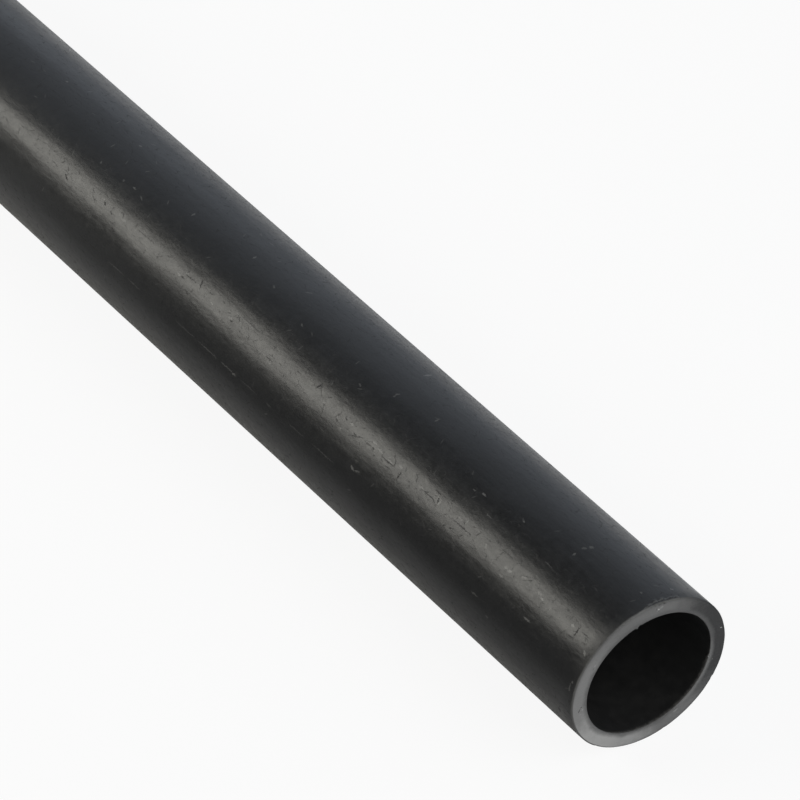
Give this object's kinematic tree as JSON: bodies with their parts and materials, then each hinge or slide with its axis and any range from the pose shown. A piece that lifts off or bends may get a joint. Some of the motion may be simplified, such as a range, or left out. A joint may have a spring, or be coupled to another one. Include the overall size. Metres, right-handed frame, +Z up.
{
  "type": "pvc pipe",
  "caption": "Thick-walled dark grey PVC pressure pipe: one straight cut length with a plain through bore, sawn slightly out of square at one end.",
  "frame": {"origin": "on the ground below the middle of the pipe's length", "axes": "+X along the pipe towards the end that the picture shows, +Z up"},
  "size_m": [1, 0.0603, 0.0603],
  "materials": {
    "pvc": "satin"
  },
  "bodies": {
    "root": {"pipe": "pvc"}
  },
  "joints": []
}
